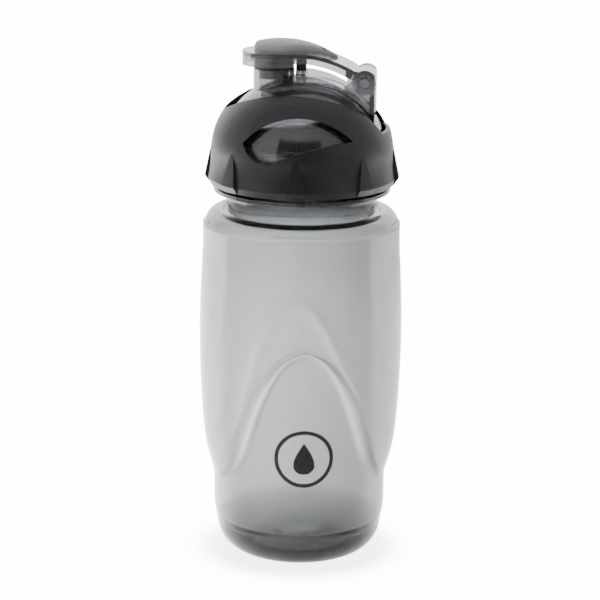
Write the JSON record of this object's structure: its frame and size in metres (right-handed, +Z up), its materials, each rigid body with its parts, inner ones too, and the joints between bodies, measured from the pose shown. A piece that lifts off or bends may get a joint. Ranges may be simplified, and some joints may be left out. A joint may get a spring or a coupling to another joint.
{
  "type": "travel water bottle",
  "caption": "Clear smoky travel water bottle with grip recesses, a screw cap with a domed spout under a black grip shell, and a hinged flip lid.",
  "frame": {"origin": "centre of the base, on the surface the bottle stands on", "axes": "+Z up along the bottle's axis, +X from the spout towards the lid's hinge, the front window faces -Y"},
  "size_m": [0.0726, 0.0726, 0.186],
  "materials": {
    "bottle_clear": "clear blown plastic with a light smoke tint",
    "cap_clear": "clear moulded plastic with a smoke tint",
    "lid_clear": "clear moulded plastic with a smoke tint",
    "shell_black": "fine satin moulded plastic",
    "pad_grey": "soft-touch moulded elastomer",
    "silicone_dark": "moulded silicone",
    "pin_steel": "drawn steel"
  },
  "bodies": {
    "bottle": {"bottle_body": "bottle_clear"},
    "seal": {"neck_gasket": "silicone_dark"},
    "cap": {"spout_cap": "cap_clear", "grip_shell": "shell_black", "hinge_pin": "pin_steel"},
    "lid": {"flip_lid": "lid_clear", "lid_pad": "pad_grey", "spout_plug": "silicone_dark", "vent_plug": "silicone_dark"}
  },
  "joints": [
    {"name": "cap_lift", "type": "slide", "parent": "bottle", "child": "seal", "axis": [0, 0, 1], "range_m": [0, 0.005]},
    {"name": "cap_turn", "type": "hinge", "parent": "seal", "child": "cap", "pos_m": [0, 0, 0.14], "axis": [0, 0, 1], "range_deg": [0, 450]},
    {"name": "lid_flip", "type": "hinge", "parent": "cap", "child": "lid", "pos_m": [0.0219, 0, 0.17195], "axis": [0, 1, 0], "range_deg": [0, 150]}
  ],
  "couplings": [
    {"joint": "cap_lift", "follows": "cap_turn", "m_per_rad": 0.000636}
  ]
}
